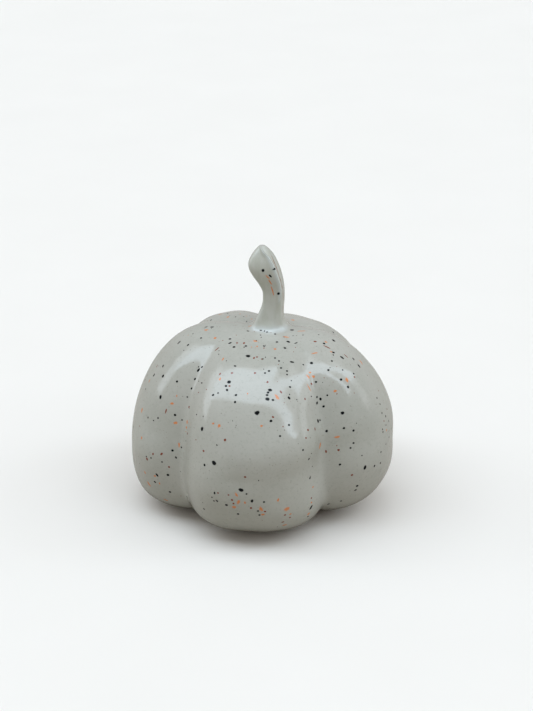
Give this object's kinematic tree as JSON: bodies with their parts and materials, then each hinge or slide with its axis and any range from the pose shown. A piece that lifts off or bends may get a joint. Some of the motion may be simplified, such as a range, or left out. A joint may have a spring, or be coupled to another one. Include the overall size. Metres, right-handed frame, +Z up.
{
  "type": "ceramic pumpkin figure",
  "caption": "Small hollow glazed ceramic pumpkin with rounded lobes, a dimpled crown and a short hooked stem, on a flat bare foot.",
  "frame": {"origin": "on the vertical axis of the lobed body and of the vent hole, at the level of the flat foot", "axes": "+Z up along the body's axis towards the stem, -Y towards the front lobe, +X to the right as seen from the front"},
  "size_m": [0.0768, 0.0741, 0.08],
  "materials": {
    "clay": "matt, bare fired stoneware clay",
    "slip": "matt, fired joining slip",
    "glaze": "glossy grey-cream glaze with black, orange and rust specks"
  },
  "bodies": {
    "root": {"lower_shell": "clay", "upper_shell": "clay", "seam_slip": "slip", "stem": "clay", "stem_slip": "slip", "body_glaze": "glaze", "stem_glaze": "glaze"}
  },
  "joints": []
}
